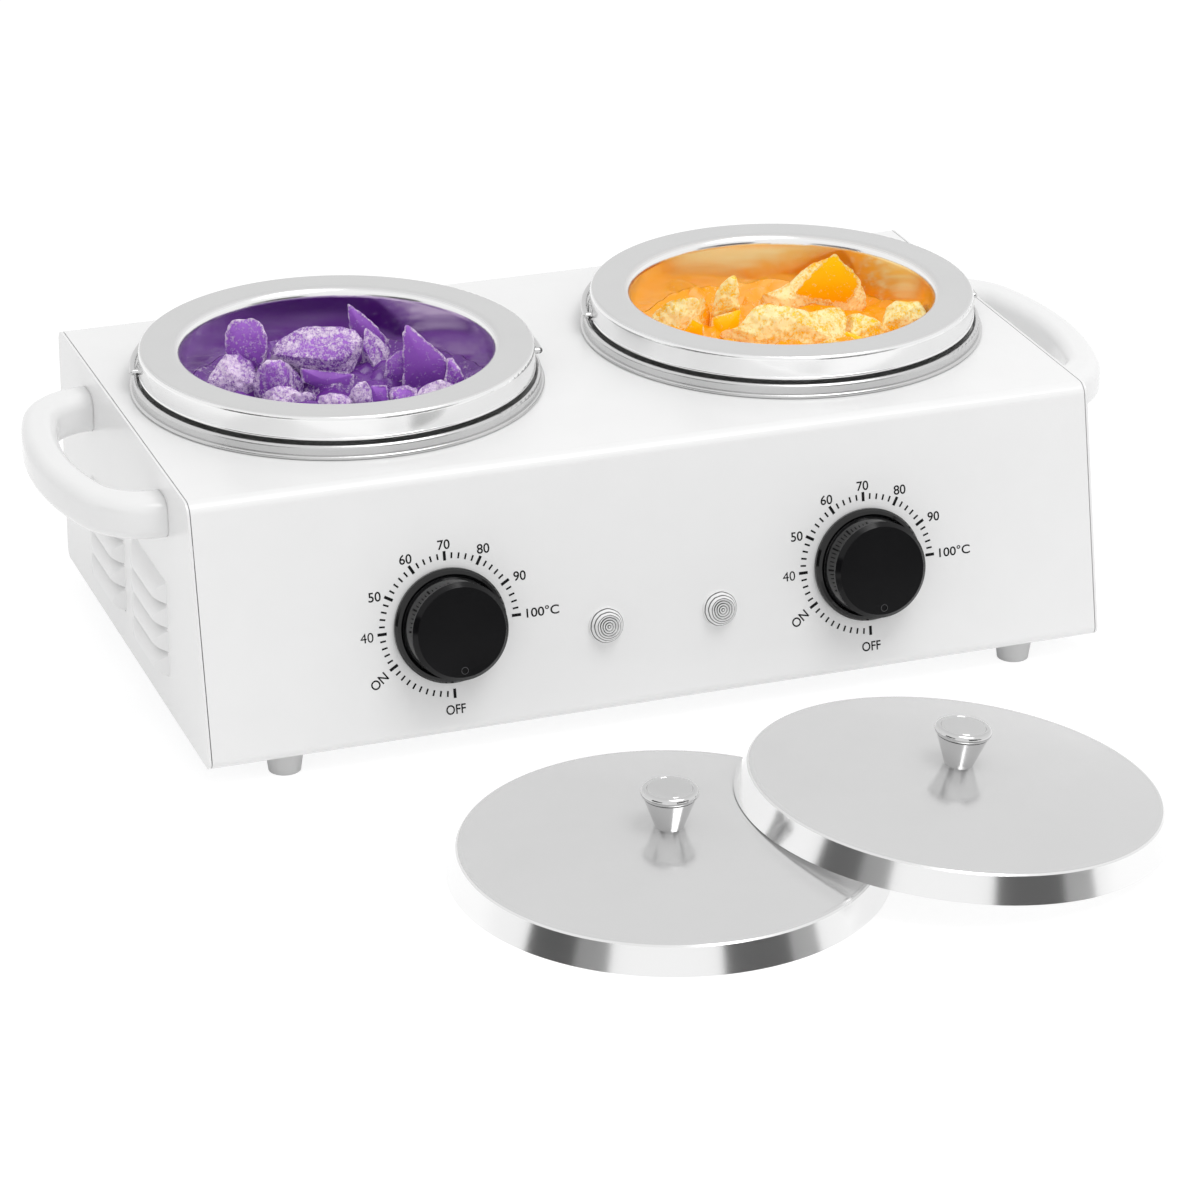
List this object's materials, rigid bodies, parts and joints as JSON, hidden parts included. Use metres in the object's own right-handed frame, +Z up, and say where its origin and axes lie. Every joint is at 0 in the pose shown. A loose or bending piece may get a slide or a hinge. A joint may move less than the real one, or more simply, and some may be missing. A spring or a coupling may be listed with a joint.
{
  "type": "double wax warmer",
  "caption": "White sheet-steel wax warmer with lift-out steel pots on wire bails, thermostat knobs, pilot lamps, carrying handles and loose lids with turned knobs.",
  "frame": {"origin": "bottom centre of the box round the warmer and the lids laid in front of it, on the table", "axes": "+Z up, +X to the viewer's right along the housing, -Y towards the viewer, out of the control panel"},
  "size_m": [0.48, 0.4666, 0.1362],
  "materials": {
    "white_enamel": "smooth baked white enamel",
    "zinc_steel": "bright zinc plating",
    "grey_rubber": "matt moulded rubber",
    "white_plastic": "smooth moulded white",
    "satin_steel": "satin spun steel",
    "polished_steel": "polished",
    "black_plastic": "semi-gloss black",
    "copper": "plain copper",
    "clear_lens": "clear moulded lens",
    "lamp_glass": "clear glass"
  },
  "bodies": {
    "housing_body": {"housing_wrap": "white_enamel", "left_end_panel": "white_enamel", "right_end_panel": "white_enamel", "base_plate": "zinc_steel", "front_left_foot": "grey_rubber", "front_right_foot": "grey_rubber", "rear_left_foot": "grey_rubber", "rear_right_foot": "grey_rubber", "foot_screws": "zinc_steel", "base_screws": "zinc_steel", "back_screws": "zinc_steel", "left_handle": "white_plastic", "right_handle": "white_plastic", "handle_screws": "zinc_steel", "left_heating_well": "satin_steel", "right_heating_well": "satin_steel", "left_collar_ring": "polished_steel", "right_collar_ring": "polished_steel", "left_heater_band": "satin_steel", "right_heater_band": "satin_steel", "heater_clamp_screws": "zinc_steel", "left_tie_rod": "zinc_steel", "right_tie_rod": "zinc_steel", "tie_rod_nuts": "zinc_steel", "left_thermal_cutout": "black_plastic", "right_thermal_cutout": "black_plastic", "left_thermostat": "zinc_steel", "right_thermostat": "zinc_steel", "thermostat_screws": "zinc_steel", "left_sensor_bulb": "copper", "right_sensor_bulb": "copper", "left_lamp_lens": "clear_lens", "right_lamp_lens": "clear_lens", "left_lamp_body": "white_plastic", "right_lamp_body": "white_plastic", "lamp_nuts": "zinc_steel", "left_lamp_bulb": "lamp_glass", "right_lamp_bulb": "lamp_glass", "cord_gland": "black_plastic", "gland_nut": "black_plastic", "terminal_block": "white_plastic", "earth_stud": "zinc_steel"},
    "left_control": {"left_spindle": "zinc_steel", "left_knob": "black_plastic", "left_knob_cap": "black_plastic"},
    "right_control": {"right_spindle": "zinc_steel", "right_knob": "black_plastic", "right_knob_cap": "black_plastic"},
    "left_pot_body": {"left_pot": "satin_steel"},
    "right_pot_body": {"right_pot": "satin_steel"},
    "left_bail_body": {"left_bail": "polished_steel"},
    "right_bail_body": {"right_bail": "polished_steel"},
    "left_lid_body": {"left_lid": "satin_steel", "left_lid_knob": "polished_steel", "left_lid_screw": "zinc_steel"},
    "right_lid_body": {"right_lid": "satin_steel", "right_lid_knob": "polished_steel", "right_lid_screw": "zinc_steel"}
  },
  "joints": [
    {"name": "left_knob_turn", "type": "hinge", "parent": "housing_body", "child": "left_control", "pos_m": [-0.0935, -0.00586, 0.05515], "axis": [0, 0.9775, -0.2111], "range_deg": [0, 270]},
    {"name": "left_pot_lift", "type": "slide", "parent": "housing_body", "child": "left_pot_body", "axis": [0, 0, 1], "range_m": [0, 0.1]},
    {"name": "left_bail_swing", "type": "hinge", "parent": "left_pot_body", "child": "left_bail_body", "pos_m": [-0.10265, 0.11682, 0.1277], "axis": [0.9816, -0.1908, 0], "range_deg": [0, 180]},
    {"name": "right_knob_turn", "type": "hinge", "parent": "housing_body", "child": "right_control", "pos_m": [0.0935, -0.00586, 0.05515], "axis": [0, 0.9775, -0.2111], "range_deg": [0, 270]},
    {"name": "right_pot_lift", "type": "slide", "parent": "housing_body", "child": "right_pot_body", "axis": [0, 0, 1], "range_m": [0, 0.1]},
    {"name": "right_bail_swing", "type": "hinge", "parent": "right_pot_body", "child": "right_bail_body", "pos_m": [0.10265, 0.11682, 0.1277], "axis": [0.9816, -0.1908, 0], "range_deg": [0, 180]},
    {"name": "left_lid_lift", "type": "slide", "parent": "housing_body", "child": "left_lid_body", "axis": [0, 0, 1], "range_m": [0, 0.15]},
    {"name": "right_lid_lift", "type": "slide", "parent": "left_lid_body", "child": "right_lid_body", "axis": [0, 0, 1], "range_m": [0, 0.15]}
  ]
}
